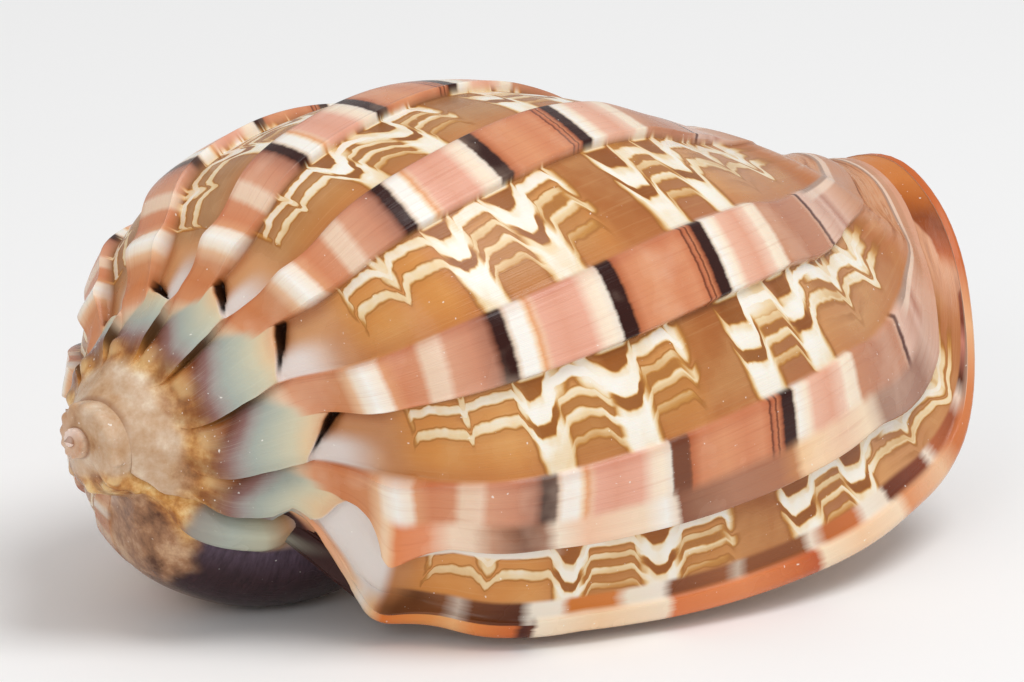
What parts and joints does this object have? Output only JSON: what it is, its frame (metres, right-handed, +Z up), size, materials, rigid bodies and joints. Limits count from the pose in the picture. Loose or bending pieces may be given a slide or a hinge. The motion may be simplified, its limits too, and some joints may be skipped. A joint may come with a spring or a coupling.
{
  "type": "harp shell",
  "caption": "Natural sea-snail shell with a low spire, raised ribs ending in shoulder spines, overlapping shoulder flaps, a wide open aperture and a glazed callus; rests on its aperture.",
  "frame": {"origin": "on the surface the shell rests on, under the middle of its box", "axes": "+X from the pointed top towards the siphon end, +Y towards the columella side, away from the outer lip, +Z up through the round back"},
  "size_m": [0.0818, 0.0467, 0.0388],
  "materials": {
    "shell": "glossy natural shell, cream and orange-pink ribs with dark bars, golden-brown spaces with white scalloped lines"
  },
  "bodies": {
    "root": {"harp_shell": "shell"}
  },
  "joints": []
}
